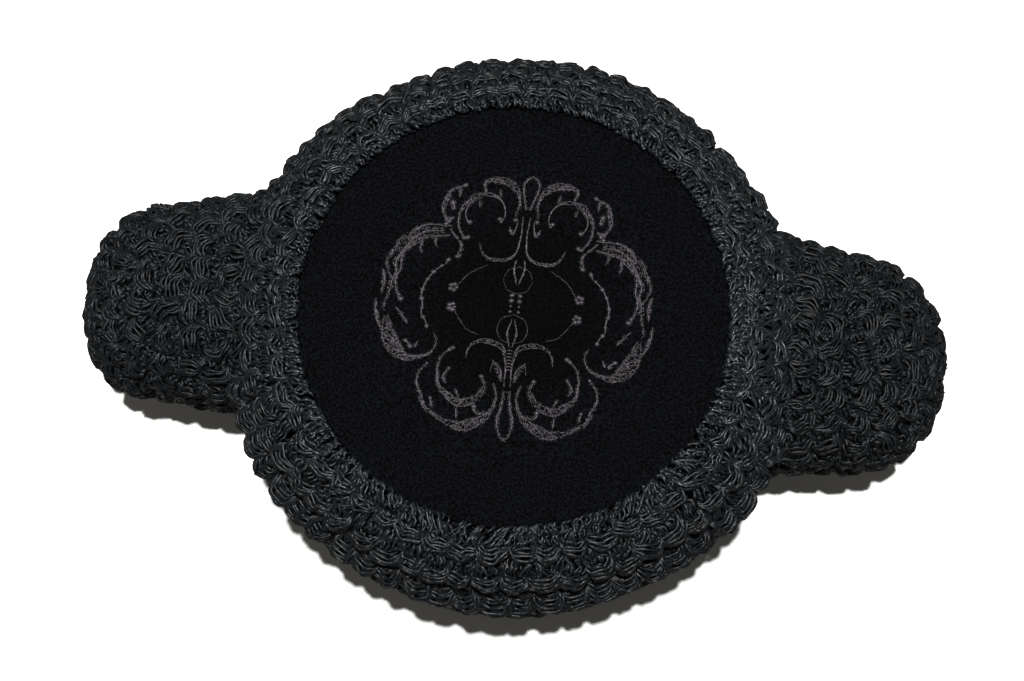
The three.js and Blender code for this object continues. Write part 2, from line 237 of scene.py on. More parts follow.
# Embroidery on the velvet: baroque scrolls that mirror on an upright axis, drawn on the left half in
# millimetres from the middle of the ornament. Each stroke has its width where it is thickest, the share of
# its length where that is, and the points that it runs through.
STROKE_COLUMNS = ("name", "width", "thick", "points")
EMBROIDERY = tuple(dict(zip(STROKE_COLUMNS, row)) for row in (
    ("top finial", 0.9, 0.5, ((-0.8, 40.8), (-2.7, 48.0), (-2.8, 51.5), (-1.5, 53.6), (0.0, 54.4))),
    ("hanging petal", 1.0, 0.7, ((-3.2, 35.2), (-3.8, 31.8), (-4.6, 30.0), (-5.8, 32.4))),
    ("top inner scroll", 1.5, 0.7, (
        (-1.4, 37.8), (-1.2, 30.0), (-1.8, 24.0), (-3.3, 21.0), (-6.2, 19.3), (-9.0, 19.0), (-13.0, 19.3),
        (-15.5, 21.8), (-16.6, 24.7))),
    ("upper drop", 0.8, 0.6, ((-1.6, 19.5), (-2.0, 15.6), (-0.6, 10.4))),
    ("top scroll", 3.0, 0.55, (
        (-4.6, 37.8), (-3.6, 41.6), (-3.9, 44.5), (-5.7, 48.5), (-9.5, 51.4), (-12.4, 51.8), (-17.5, 51.0),
        (-18.4, 48.6), (-17.5, 46.6))),
    ("top scroll tick", 1.0, 0.3, ((-11.8, 47.7), (-11.5, 45.3))),
    ("second scroll, inner arm", 1.6, 0.1, (
        (-17.6, 45.4), (-13.6, 45.0), (-10.6, 42.9), (-8.9, 39.8), (-8.7, 36.9), (-9.7, 34.7))),
    ("second scroll, outer arm", 2.5, 0.15, (
        (-17.6, 45.4), (-21.5, 43.6), (-24.2, 40.3), (-26.1, 37.6), (-26.4, 33.9), (-25.4, 29.9),
        (-22.9, 26.4), (-21.5, 27.2))),
    ("second scroll hook", 0.8, 0.8, ((-23.5, 39.6), (-24.1, 37.0), (-23.2, 34.3), (-21.9, 33.2))),
    ("second scroll tick", 0.9, 0.3, ((-19.3, 42.2), (-19.0, 40.2))),
    ("side curl", 1.8, 0.5, (
        (-25.6, 48.5), (-27.7, 47.4), (-31.0, 45.3), (-32.0, 42.3), (-33.0, 38.8), (-32.1, 34.8),
        (-30.2, 33.0))),
    ("side curl foot", 2.0, 0.5, ((-32.2, 35.2), (-30.4, 33.2), (-28.4, 34.4))),
    ("side curl leaf", 1.4, 0.5, ((-29.8, 41.0), (-29.0, 38.0))),
    ("side curl tick", 0.8, 0.3, ((-27.7, 47.4), (-27.4, 43.7))),
    ("great scroll, outer line", 1.5, 0.6, (
        (-29.0, 30.7), (-35.0, 30.8), (-38.3, 30.4), (-41.0, 29.2), (-44.0, 26.4), (-47.6, 22.9),
        (-50.0, 18.0), (-51.7, 14.0), (-50.5, 9.4))),
    ("great scroll, second leaf", 1.4, 0.5, ((-52.7, 10.3), (-52.0, 6.8), (-52.2, 1.5))),
    ("great scroll, third leaf", 1.4, 0.5, ((-54.0, -1.6), (-53.6, -6.0), (-52.3, -10.3), (-50.4, -13.9))),
    ("great scroll, inner line", 1.2, 0.3, (
        (-29.0, 27.0), (-34.0, 26.0), (-38.0, 25.5), (-41.5, 22.5), (-44.3, 20.0), (-46.0, 16.5),
        (-46.0, 11.5), (-47.0, 9.0), (-47.2, 5.3), (-46.0, 1.2), (-44.7, -1.0))),
    ("great scroll, middle line", 0.8, 0.4, (
        (-31.5, 28.6), (-38.0, 27.8), (-42.3, 24.6), (-45.5, 19.5), (-47.7, 15.4), (-48.2, 12.9),
        (-47.5, 9.8), (-48.7, 7.2), (-49.2, 2.0), (-51.0, -4.5))),
    ("great scroll, outer tick", 0.9, 0.3, ((-39.0, 24.0), (-39.5, 21.0), (-39.0, 19.0))),
    ("great scroll, inner tick", 0.9, 0.3, ((-34.0, 25.5), (-34.0, 23.8), (-33.2, 21.8))),
    ("great scroll hook", 1.5, 0.95, (
        (-29.0, 29.5), (-26.1, 26.4), (-24.1, 24.2), (-23.5, 21.4), (-24.6, 18.8))),
    ("beaded arc", 0.9, 0.5, (
        (-27.8, 17.5), (-29.0, 15.2), (-32.3, 12.4), (-35.4, 7.5), (-36.7, 1.9), (-35.8, -2.1),
        (-35.8, -5.9), (-34.0, -8.5), (-33.0, -11.0))),
    ("upper fine line", 0.5, 0.5, ((-12.7, 16.3), (-18.7, 12.7), (-22.4, 8.2), (-23.8, 5.9))),
    ("lower fine line", 0.5, 0.5, ((-23.7, -2.0), (-20.7, -6.6), (-17.6, -10.1), (-13.5, -11.6))),
    ("upper ring", 0.5, 0.5, ((0.0, 17.1), (-3.9, 15.5), (-5.5, 11.6), (-3.9, 7.7), (0.0, 6.1))),
    ("lower ring", 0.5, 0.5, ((0.0, -2.4), (-4.2, -4.1), (-5.9, -8.3), (-4.2, -12.5), (0.0, -14.2))),
    ("great scroll, hatch", 4.2, 0.22, (
        (-31.0, 28.6), (-37.0, 28.2), (-40.5, 27.0), (-44.5, 22.5), (-48.5, 16.0), (-49.5, 8.0),
        (-50.2, 0.0), (-50.5, -7.0))),
    ("great scroll, waist hatch", 2.2, 0.5, ((-48.0, 11.5), (-47.6, 7.0), (-48.6, 2.0))),
    ("great scroll, foot", 5.8, 0.27, (
        (-49.2, -8.0), (-47.8, -15.0), (-44.6, -20.5), (-40.0, -23.8), (-34.0, -22.6), (-30.5, -20.5),
        (-28.8, -16.6), (-30.2, -13.0))),
    ("waist leaf", 1.3, 0.5, ((-45.4, -4.6), (-43.6, -6.6), (-41.0, -10.2))),
    ("foot leaflet", 1.0, 0.5, ((-41.2, -16.9), (-40.0, -17.8), (-38.5, -19.5))),
    ("foot tick", 0.9, 0.5, ((-36.0, -17.2), (-37.0, -18.9))),
    ("bottom outer scroll, arm", 1.5, 0.7, (
        (-31.7, -25.5), (-34.2, -28.6), (-35.0, -31.7), (-34.4, -35.0), (-33.0, -37.3), (-32.4, -40.0),
        (-30.7, -42.7), (-26.5, -45.4))),
    ("bottom outer scroll, belly", 4.0, 0.42, (
        (-29.0, -43.9), (-26.5, -45.4), (-21.0, -47.7), (-16.3, -48.4), (-10.5, -46.0), (-6.7, -43.0),
        (-4.5, -39.0), (-3.9, -35.0), (-5.0, -31.0))),
    ("bottom outer leaflet", 1.1, 0.7, ((-29.1, -38.5), (-28.4, -42.4))),
    ("bottom outer hook", 0.9, 0.5, ((-12.1, -40.0), (-11.5, -42.4), (-7.5, -42.3))),
    ("bottom outer tick", 0.9, 0.3, ((-18.9, -44.9), (-18.8, -41.2))),
    ("bottom inner scroll", 3.0, 0.65, (
        (-22.0, -17.8), (-26.0, -21.2), (-27.4, -25.8), (-27.0, -30.8), (-25.7, -34.3), (-23.0, -36.5),
        (-20.5, -38.6), (-17.0, -39.4), (-12.0, -37.2), (-9.7, -34.4), (-8.7, -31.4), (-10.2, -28.0))),
    ("bottom inner leaf", 1.1, 0.5, ((-22.8, -26.0), (-24.9, -29.3), (-23.9, -32.0))),
    ("bottom inner tick", 0.8, 0.5, ((-19.7, -34.0), (-18.7, -36.4))),
    ("lower inner scroll", 2.2, 0.42, (
        (-16.8, -20.8), (-16.4, -18.0), (-14.3, -15.2), (-10.7, -13.9), (-6.7, -14.3), (-3.3, -15.9),
        (-1.8, -19.3), (-1.2, -24.2), (-1.2, -30.4))),
    ("lower drop", 1.0, 0.5, ((-0.6, -15.2), (-1.8, -10.0), (-0.6, -5.0))),
    ("bottom petal", 1.6, 0.5, ((-6.0, -21.5), (-3.8, -24.6), (-2.6, -29.0))),
    ("bottom petal edge", 0.7, 0.5, ((-7.0, -25.8), (-6.6, -23.6), (-6.0, -21.5))),
    ("bottom finial", 1.0, 0.5, (
        (-0.9, -33.0), (-1.7, -39.0), (-2.8, -43.0), (-2.7, -47.3), (-1.6, -50.5), (0.0, -52.0))),
))
# Strokes that have no fringe, strokes of a dimmer thread, and hatches, which have no edges, but loose
# stitches of which this share shows
CRISP = (
    "hanging petal", "top inner scroll", "upper drop", "second scroll, inner arm", "second scroll hook",
    "beaded arc", "upper fine line", "lower fine line", "upper ring", "lower ring", "lower inner scroll",
    "lower drop", "bottom petal edge",
)
DIM = {
    "beaded arc": 0.9, "upper fine line": 0.42, "lower fine line": 0.45, "upper ring": 0.33,
    "lower ring": 0.36,
}
HATCH = {"great scroll, hatch": 0.7, "great scroll, waist hatch": 0.6}
# Small knots of thread at stroke ends and on the beaded arc
KNOTS = (
    (-28.0, 17.0), (-30.2, 14.4), (-33.0, 11.6), (-35.0, 8.4), (-36.5, 4.0), (-36.4, 0.4), (-35.8, -3.4),
    (-35.0, -7.0), (-33.2, -10.4), (-29.8, 32.6), (-31.0, 31.6), (-4.2, 36.0), (-31.6, -25.2), (-10.2, -28.0),
    (-1.6, 5.4), (-1.6, 3.2), (-1.6, 1.0), (-1.6, -1.2), (-9.7, 34.7), (-10.4, 35.8), (-21.9, 33.2),
    (-21.8, 27.0), (-23.2, 26.6), (-24.6, 18.8), (-17.6, 46.8), (-5.6, 31.4), (-22.2, -17.9), (-23.4, -18.8),
    (-44.5, -0.6), (-45.4, 1.0), (-40.8, -17.0), (-38.7, -19.2), (-22.9, -26.2), (-29.2, -38.6),
    (-12.1, -40.2), (-29.6, 40.6), (-29.1, 38.2), (-25.8, 48.3),
)
# Small flowers at the ends of the fine lines
FLOWERS = ((-24.6, 6.3), (-24.4, -1.6))
# Columns of level stitches beside the axis, as place across, bottom and top
COLUMNS = ((-0.3, -24.5, -16.5),)
ORNAMENT_MIDDLE = (1.4, 1.05)
ORNAMENT_TURN = math.radians(-0.95)
# The axis bows to the left between its ends, which lie this far above and below the middle
ORNAMENT_BOW = 1.3
ORNAMENT_REACH = 50.0
STITCH_GAP = 0.8
STITCH_RADIUS = 0.22
LANE_GAP = 0.5
# Stitches that draw the edges of a stroke, fill it, and lie half sunk in the pile beside it: the share that
# shows, their lengths, how far they slant across the stroke, and their least and greatest shade
STITCH_COLUMNS = ("shown", "length", "slant", "darkest", "lightest")
STITCHES = {
    kind: dict(zip(STITCH_COLUMNS, row)) for kind, row in {
        "edge": (0.9, 1.2, 0.08, 0.3, 1.6),
        "fill": (0.75, 0.85, 0.7, 0.2, 1.45),
        "fringe": (0.6, 0.8, 0.4, 0.15, 0.55),
    }.items()
}
SEWING_SPREAD = {"shift": 0.12, "place": 0.07, "length": 0.2}
# Strokes fade to this share of their shade at their ends, over this share of their length
END_SHADE = 0.6
END_SHARE = 0.25
# A stroke's thick place reaches over this share of its length
STROKE_SWELL = 0.25
CURVE_SHARES = 16
STITCH_POINTS = 3
STITCH_ARCH = 0.25
THIN_STROKE = 0.55
KNOT_RADIUS = 0.95
KNOT_SPREAD = 0.22
KNOT_SHADES = (1.3, 1.05, 0.85, 0.65)
FLOWER_RADIUS = 1.2
PETALS = 5
PETAL_RADIUS = 0.85
COLUMN_GAP = 1.3
COLUMN_STITCH = (0.7, 0.1)

# Looks: bump depths are metres, and speckle is how far fibres differ. A cord's plies have their distance
# along it, their number round it, and how dark the painted shade in the grooves between them is. Cords of a
# lighter shade are smoother.
CORD_COLOR = (0.0029, 0.0037, 0.0046)
PLY = {"pitch": 2.6, "round": 2.0, "bump": 0.08, "depth": 0.0004, "contrast": 0.5, "darkest": 0.68}
SHADE_POLISH = 0.07
LEAST_ROUGHNESS = 0.34
# Specular level and roughness of the cords
CROWN_GLOSS = (0.17, 0.46)
LOBE_GLOSS = (0.13, 0.48)
# Fibre speckle: no fibre is darker than this share of the colour
DARKEST_FIBRE = 0.1
FIBRE_DETAIL = 3
BACKING_COLOR = (0.0012, 0.0013, 0.0015)
LINING_COLOR = (0.008, 0.008, 0.009)
WEAVE = {
    "pitch": 0.7, "roughness": 0.9, "fibres": 900, "speckle": 2.0, "bump": 0.6, "depth": 0.0003,
    "contrast": 0.35,
}
THREAD_COLOR = (0.034, 0.030, 0.034)
THREAD = {"roughness": 0.5, "specular": 0.2, "fibres": 700, "speckle": 2.0}
VELVET_COLOR = (0.0007, 0.0008, 0.00105)
VELVET = {
    "roughness": 0.9, "specular": 0.02, "sheen": 0.012, "sheen_roughness": 0.4, "fibres": 1100,
    "speckle": 9.0, "bump": 0.6, "depth": 0.0006,
}
# The pile is pressed to this share of its colour in the middle of the embroidery, between these two distances
PRESSED = {"From Min": 0.022, "From Max": 0.052, "To Min": 0.5, "To Max": 1.0}

FLOOR = {
    "size": 24, "color": (0.16, 0.16, 0.16), "roughness": 0.8, "glow_color": (1, 0.98, 0.9, 1), "glow": 0.022,
}
# The room is lighter on the left
ROOM = {"color": (1, 0.96, 0.85, 1), "slope": -0.14, "level": 0.25}
LAMP = {"energy": 10.6, "wide": math.radians(2), "tilt": math.radians(0.5)}
# Tones of the print that light is shown as, up to the light that is pure white
TONES = ((0.12, 0.12), (0.3, 0.5))
PAPER_WHITE = (0.5, 1.0)
CAMERA = {
    "azimuth": 5.4, "elevation": 75.8, "distance": 930.0, "target_z": 50.0, "lens": 80.07, "sensor": 36,
    "farthest": 100,
}
# The middle of the picture lies this far right of and above the hat's axis, measured at the target
AIM_RIGHT = -0.78
AIM_UP = 0.41


# Surfaces

def unit(vectors):
    """Vectors brought to length 1."""
    return vectors / np.maximum(np.linalg.norm(vectors, axis=-1, keepdims=True), TINY)


def running_length(points):
    """Distance along a line of points from its start."""
    return np.concatenate([[0.0], np.cumsum(np.linalg.norm(np.diff(points, axis=0), axis=1))])


def between(start, stop, share):
    return start + (stop - start) * share


def crest_curve():
    """Distance along the crest from the top of the throat, with its points and outward normals."""
    turn = np.linspace(0.0, np.pi / 2, CURVE_STEPS)
    share = np.linspace(0.0, 1.0, CURVE_STEPS)
    throat = np.stack(
        [CREST_INNER - THROAT * np.cos(turn), CREST_TOP_Z - THROAT * (1 - np.sin(turn))], axis=1)
    shoulder = np.stack(
        [between(CREST_INNER, CREST_RADIUS, np.sin(turn)),
         between(WIDEST_Z, CREST_TOP_Z, np.cos(turn))], axis=1)
    wall = np.stack([CREST_RADIUS - RIM_TUCK * share, WIDEST_Z * (1 - share)], axis=1)
    points = np.concatenate([throat, shoulder[1:], wall[1:]])
    way = unit(np.gradient(points, axis=0))
    normals = np.stack([-way[:, 1], way[:, 0]], axis=1)
    distance = running_length(points)
    return distance - distance[CURVE_STEPS - 1], points, normals


CREST_DISTANCE, CREST_POINTS, CREST_NORMALS = crest_curve()


def crest_at(distance, lift):
    """Radius and height at a distance along the crest, moved out along its normal."""
    radius, height = (np.interp(distance, CREST_DISTANCE, CREST_POINTS[:, axis]) for axis in (0, 1))
    out, up = (np.interp(distance, CREST_DISTANCE, CREST_NORMALS[:, axis]) for axis in (0, 1))
    return radius + lift * out, height + lift * up


def crest_radius(height):
    """Radius of the crown's outside at a height."""
    outside = CREST_DISTANCE > 0
    return np.interp(-height, -CREST_POINTS[outside, 1], CREST_POINTS[outside, 0])


def swelling(angle, places):
    """Sum of soft swellings round the crown, each with its angle, angular width and size."""
    total = np.zeros_like(angle)
    for middle, wide, size in places:
        apart = np.angle(np.exp(1j * (angle - middle)))
        total = total + size * np.exp(-(apart / wide) ** 2)
    return total


def crown_place(distance, angle, lift):
    """Points on the crown, whose reach beyond the velvet is stretched to an oval."""
    radius, height = crest_at(distance, lift)
    reach = CREST_OVALITY * np.cos(2 * angle) + CREST_BACK * np.sin(angle)
    stretch = 1 + (reach + swelling(angle, CREST_SWELLS)) / (CREST_RADIUS - CREST_INNER)
    radius = np.where(radius > CREST_INNER, CREST_INNER + (radius - CREST_INNER) * stretch, radius)
    return np.stack([radius * np.cos(angle), radius * np.sin(angle), height], axis=-1)


def lobe_share(lobe, reach, end):
    """Share of the way from a lobe's base to its shoulder or its tip."""
    return np.clip((reach - LOBE["base_x"]) / (lobe[end] - LOBE["base_x"]), 0, 1)


def lobe_middle(lobe, reach):
    """Place of a lobe's axis across the hat and its height at a reach."""
    share = lobe_share(lobe, reach, "tip_x")
    return between(lobe["base_y"], lobe["tip_y"], share), between(LOBE["base_z"], LOBE["tip_z"], share)


def lobe_halves(lobe, reach):
    """Half width and half height of a lobe at a reach, without its rounded end."""
    share = lobe_share(lobe, reach, "shoulder_x")
    return (between(lobe["base_half_y"], lobe["shoulder_half_y"], share),
            between(LOBE["base_half_z"], LOBE["shoulder_half_z"], share))


def lobe_level(lobe, points):
    """How far points lie out of a lobe, with the middles that they are seen from: 1 is on its surface."""
    reach = lobe["side"] * points[..., 0]
    centre_y, centre_z = lobe_middle(lobe, reach)
    half_y, half_z = lobe_halves(lobe, reach)
    power = 2 / LOBE["squareness"]
    across = np.abs((points[..., 1] - centre_y) / half_y) ** power
    upright = np.abs((points[..., 2] - centre_z) / half_z) ** power
    beyond = np.maximum(reach - lobe["shoulder_x"], 0) / (lobe["tip_x"] - lobe["shoulder_x"])
    end = LOBE["end_power"]
    level = ((across + upright) ** (end / power) + beyond ** end) ** (1 / end)
    middle_x = lobe["side"] * np.minimum(reach, lobe["shoulder_x"])
    middle = np.stack([middle_x, centre_y, centre_z], axis=-1)
    return level, middle


def lobe_surface(lobe, points):
    """Points moved straight out of or into a lobe onto its surface, with the normals there."""
    for _ in range(SURFACE_ROUNDS):
        level, middle = lobe_level(lobe, points)
        points = middle + (points - middle) / np.maximum(level, TINY)[..., None]
    slope = np.stack(
        [lobe_level(lobe, points + NUDGE * axis)[0] - lobe_level(lobe, points - NUDGE * axis)[0]
         for axis in np.eye(3)], axis=-1)
    return points, unit(slope)


# Cords

def tuft_top(back, tilt, nose):
    """Height of a tuft's upper side at a distance back from the end of its lip."""
    return -tilt * np.maximum(back - nose, 0)


def lip_section(back, look):
    """Place down the row and out of the surface at a distance back from the end of a rounded lip."""
    nose = look["nose"]
    bend = np.minimum(back / nose, np.pi / 2)
    level = np.maximum(back - nose * np.pi / 2, 0)
    down = -nose * (1 - np.cos(bend)) - level
    return down, -nose * (1 - np.sin(bend)) + tuft_top(-down, look["tilt"], nose)


def smooth(value):
    value = np.clip(value, 0, 1)
    return value * value * (3 - 2 * value)


def wavering(rng, points, size):
    """Points moved by random waves: the cords of a tuft swing together, and each a little alone."""
    count, cords, steps, _ = points.shape
    tufts, each = (count, 1, 1, 3), (count, cords, 1, 3)
    share = np.linspace(0, 1, steps)[None, None, :, None]
    for slowest, quickest, part, alone in CORD_WAVES:
        waves = rng.uniform(slowest, quickest, tufts) + WAVE_SPREAD * rng.normal(0, 1, each)
        phase = rng.uniform(0, 2 * np.pi, tufts) + alone * rng.normal(0, 1, each)
        reach = part * size * WAVE_REACH * (1 + SWING_SPREAD * rng.normal(0, 1, each))
        points = points + reach * np.sin(2 * np.pi * waves * share + phase)
    return points


def cord_points(across, down, out):
    return np.stack(np.broadcast_arrays(across, down, out), axis=-1)


def tuft_arcs(rng, count, look):
    """Arcs of the lips of count tufts: nested smiles that run together at their ends."""
    shape = (count, look["arcs"], 1)
    order = np.arange(look["arcs"])[None, :, None] + rng.normal(0, ARC["order_spread"], shape)
    width = look["pitch"] * (1 + rng.normal(0, ARC["width_spread"], (count, 1, 1)))
    swing = np.linspace(-np.pi / 2, np.pi / 2, ARC_POINTS)[None, None, :]
    middle_v, middle_w = lip_section(ARC["first"] + look["gap"] * order, look)
    deepest = ARC["first"] + look["gap"] * (look["arcs"] - 1)
    apart = SMILE_RISE + look["gap"] * order
    corner_v = between(-apart, -deepest, look["converge"]) + rng.normal(0, ARC["corner_spread"], shape)
    half = ARC["half"] * width * (1 - ARC["taper"] * order) + rng.normal(0, ARC["half_spread"], shape)
    across = half * np.sin(swing)
    skew = rng.normal(0, ARC["skew_spread"], (count, 1, 1)) + rng.normal(0, ARC["own_skew_spread"], shape)
    down = between(corner_v, middle_v, np.cos(swing) ** ARC["smile"]) + skew * across
    corner_w = tuft_top(-corner_v, look["tilt"], look["nose"]) - look["notch"]
    out = between(corner_w, middle_w, np.cos(swing) ** ARC["hump"])
    return wavering(rng, cord_points(across, down, out), ARC["swing"])


def tuft_cores(count, look):
    """Thick cords inside the lips of count tufts, under the arcs."""
    squeeze = look["gap"] / look["arc_gap"]
    back = CORE["first"] + CORE["gap"] * np.arange(CORE_COUNT)[None, :, None] * squeeze
    swing = np.linspace(-CORE["angle"], CORE["angle"], UNDER_POINTS)[None, None, :]
    across = CORE["half"] * look["pitch"] * np.sin(swing)
    bow = 1 - np.cos(swing)
    top = tuft_top(back, look["tilt"], look["nose"])
    out = top - CORE_RADIUS - CORE["clear"] - look["notch"] * bow
    points = cord_points(across, -(back + SMILE_RISE * bow), out)
    return np.broadcast_to(points, (count, *points.shape[1:]))


def post_lean(rng, count, look):
    """Slant of the posts of each tuft, which drifts along the row."""
    drift = rng.normal(0, 1, count)
    drift = (np.roll(drift, 1) + drift + np.roll(drift, -1)) / math.sqrt(3)
    return look["lean"] * (LEAN_DRIFT * drift + LEAN_OWN * rng.normal(0, 1, count))


def tuft_posts(rng, count, look, lean, first_row):
    """Straight cords of count tufts, from under the row above or out of the throat to the lip."""
    shape = (count, look["posts"], 1)
    order = np.arange(look["posts"])[None, :, None] - (look["posts"] - 1) / 2
    share = np.linspace(0, 1, POST_POINTS)[None, None, :]
    slant = lean[:, None, None] + rng.normal(0, POST["slant_spread"], shape)
    stop = -(POST["clear"] + look["gap"] * (look["arcs"] - 1)) + rng.normal(0, POST["stop_spread"], shape)
    root_spread = POST["throat_spread" if first_row else "root_spread"]
    start = -(look["step"] + look["root"]) + rng.normal(0, root_spread, shape)
    down = between(start, stop, share)
    across = look["post_gap"] * order + rng.normal(0, POST["side_spread"], shape)
    rounded = look["dome"] * (across / (0.5 * look["pitch"])) ** 2
    across = across * between(POST["fan"], 1, share) + slant * (down - stop)
    low = POST["throat_depth"] if first_row else look["relief"]
    high = -tuft_top(-stop, look["tilt"], look["nose"])
    rise = 1 - (1 - share) ** POST["rise"]
    dip = POST["dip"] * smooth((share - POST["dip_from"]) / (1 - POST["dip_from"]))
    out = between(-low, -high, rise) - dip - rounded * share + rng.normal(0, POST["lift_spread"], shape)
    return wavering(rng, cord_points(across, down, out), POST["swing"])


def tuft_fillers(rng, count, look):
    """Lower cords all over the row, with slants of their own, that show in the gaps between tufts."""
    shape = (count, look["fillers"], 1)
    order = (np.arange(look["fillers"])[None, :, None] + 0.5) / look["fillers"]
    share = np.linspace(0, 1, UNDER_POINTS)[None, None, :]
    slant = rng.normal(0, FILLER["slant_spread"], shape)
    stop = -FILLER["stop"] + rng.normal(0, FILLER["end_spread"], shape)
    start = -(look["step"] + FILLER["root"]) + rng.normal(0, FILLER["end_spread"], shape)
    down = between(start, stop, share)
    across = look["pitch"] * order + rng.normal(0, FILLER["side_spread"], shape)
    across = across + slant * (down - 0.5 * (start + stop))
    top = np.maximum(tuft_top(-down, look["tilt"], look["nose"]), -look["relief"])
    out = top - look["under"] - FILLER["sag"] * np.abs(2 * share - 1) ** FILLER["sag_power"]
    return wavering(rng, cord_points(across, down, out), FILLER["swing"])


def tuft_cords(rng, count, look, lean, first_row=False):
    """All cords of count tufts, as points across, down and out of the row, each kind with its radius."""
    posts = tuft_posts(rng, count, look, lean, first_row)
    arcs = tuft_arcs(rng, count, look)
    thin = [(cords, CORD_RADIUS) for cords in (arcs, posts, tuft_fillers(rng, count, look))]
    return [*thin, (tuft_cores(count, look), CORE_RADIUS)]


def turn_tufts(points, turn, pivot):
    """Local points turned in the surface about a pivot down the row."""
    turn = turn[:, None, None]
    across, down = points[..., 0], points[..., 1] - pivot
    return np.stack(
        [across * np.cos(turn) - down * np.sin(turn),
         across * np.sin(turn) + down * np.cos(turn) + pivot, points[..., 2]], axis=-1)


def row_lips(row, angle):
    """Distance of a row's lip along the crest, which changes from the front over the sides to the back."""
    if row < 0:
        return np.full_like(angle, THROAT_LIP)
    look = ROWS[row]
    return np.interp(np.sin(angle), (-1, 0, 1), (look["lip"], look["side"], look["back"]))


def crown_row_paths(row):
    """Cord paths of one crown row, as groups of equal length."""
    rng = np.random.default_rng(SEEDS["crown"] + row)
    look = {**CROWN_TUFT, **ROWS[row]}
    radius = float(crest_at(np.array(look["lip"]), 0.0)[0])
    count = round(2 * np.pi * radius / look["pitch"])
    angle = 2 * np.pi * (np.arange(count) + 0.5 * (row % 2)) / count
    angle = angle + rng.normal(0, CROWN_SEAT["spread"], count) * look["pitch"] / radius
    step = row_lips(row, angle) - row_lips(row - 1, angle)
    squeeze = np.clip(step / np.max(step), LEAST_SQUEEZE, 1)
    look["step"], look["gap"] = step[:, None, None], look["arc_gap"] * squeeze[:, None, None]
    loose = swelling(angle, LOOSE_SPOTS)
    ease = (look["ease"] * (0.5 + 0.5 * np.sin(angle)) + LOOSE["ease"] * loose)[:, None, None]
    look["relief"], look["tilt"] = look["relief"] * (1 - ease), look["tilt"] * (1 - ease)
    look["converge"] = between(look["converge"], 1, ease)
    look["under"] = look["under"] * (1 - LOOSE["fill"] * loose[:, None, None])
    lips = row_lips(row, angle) + rng.normal(0, 1, count) * look["wander"] * squeeze
    lips = np.minimum(lips, CREST_DISTANCE[-1] - RIM_CLEAR)
    turn = rng.normal(0, look["turn"], count) * squeeze * (1 + LOOSE["turn"] * loose)
    middles = crown_place(lips - 0.5 * step, angle, -TUFT_MIDDLE)
    clear = np.ones(count, bool)
    for lobe in LOBES.values():
        beyond_base = lobe["side"] * middles[:, 0] > LOBE["base_x"]
        clear &= ~(beyond_base & (lobe_level(lobe, middles)[0] < LOBE_COVERS))
    groups = []
    lean = post_lean(rng, count, look) + swelling(angle, LEAN_SPOTS)
    turn = turn if row else FIRST_ROW_TURN * turn
    for points, wide in tuft_cords(rng, count, look, lean, first_row=row == 0):
        local = turn_tufts(points, turn, -CROWN_SEAT["pivot"] * look["step"])
        distance = lips[:, None, None] + local[..., 1]
        # cords of the first row rise out of the throat beside the velvet
        distance = np.maximum(distance, CREST_DISTANCE[0])
        around = local[..., 0] / crest_at(distance, 0.0)[0]
        lift = local[..., 2] - look["sink"] - CORD_SINK
        placed = crown_place(distance, angle[:, None, None] + around, lift)
        # each cord's shade is painted light and shade for its row and its place round the crown, times a tone
        # of its own
        light = look["painted_light"] * (1 + swelling(angle[clear], PAINTED_LIGHT_SPOTS))
        light = light[:, None] * (1 + rng.normal(0, SHADE_SPREAD, placed[clear].shape[:2]))
        groups.append((placed[clear].reshape(-1, placed.shape[2], 3), wide, light.ravel()))
    return groups


def lobe_ring(lobe, reach, half_y):
    """A closed ring of points round a lobe at a reach and half width, with its running length."""
    angle = np.linspace(0, 2 * np.pi, RING_STEPS)
    squared = [np.sign(v) * np.abs(v) ** LOBE["squareness"] for v in (np.cos(angle), np.sin(angle))]
    centre_y, centre_z = lobe_middle(lobe, reach)
    side_y, side_z = lobe_halves(lobe, reach)
    ring = np.stack(
        [np.full(RING_STEPS, lobe["side"] * reach), centre_y + half_y * squared[0],
         centre_z + half_y * side_z / side_y * squared[1]], axis=1)
    return ring, running_length(ring)


def lobe_outline(lobe):
    """Reach and half width of a lobe seen from above, against distance from its first lip."""
    turn = np.linspace(0, np.pi / 2, CURVE_STEPS)
    straight = np.linspace(LOBE_FIRST_LIP_X, lobe["shoulder_x"], CURVE_STEPS)
    bulge = 2 / LOBE["end_power"]
    end_x = between(lobe["shoulder_x"], lobe["tip_x"], np.sin(turn[1:]) ** bulge)
    end_half = lobe["shoulder_half_y"] * np.maximum(np.cos(turn[1:]), 0) ** bulge
    reach = np.concatenate([straight, end_x])
    half = np.concatenate([lobe_halves(lobe, straight)[0], end_half])
    return running_length(np.stack([reach, half], axis=1)), reach, half


